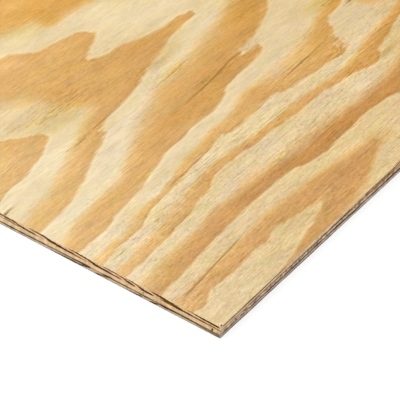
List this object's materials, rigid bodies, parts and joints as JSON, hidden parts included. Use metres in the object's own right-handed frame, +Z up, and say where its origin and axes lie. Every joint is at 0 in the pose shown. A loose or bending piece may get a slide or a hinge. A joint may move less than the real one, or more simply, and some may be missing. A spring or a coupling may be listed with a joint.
{
  "type": "plywood sheet",
  "caption": "Thin sanded pine plywood sheet with a bold cathedral figure on its face and its plies showing on the sawn edges.",
  "frame": {"origin": "middle of the sheet's underside", "axes": "+X along the sheet's length and the grain of its face, +Y across its width, +Z up out of its good face"},
  "size_m": [2.4384, 1.2192, 0.0087],
  "materials": {
    "back_veneer": "plain sanded pine veneer, grain along the length",
    "core_veneer": "unsanded pine crossband veneer, seen only on the sawn edges",
    "face_veneer": "sanded flat-cut pine veneer with a cathedral figure, unfinished"
  },
  "bodies": {
    "root": {"back_veneer": "back_veneer", "core_veneer": "core_veneer", "face_veneer": "face_veneer"}
  },
  "joints": []
}
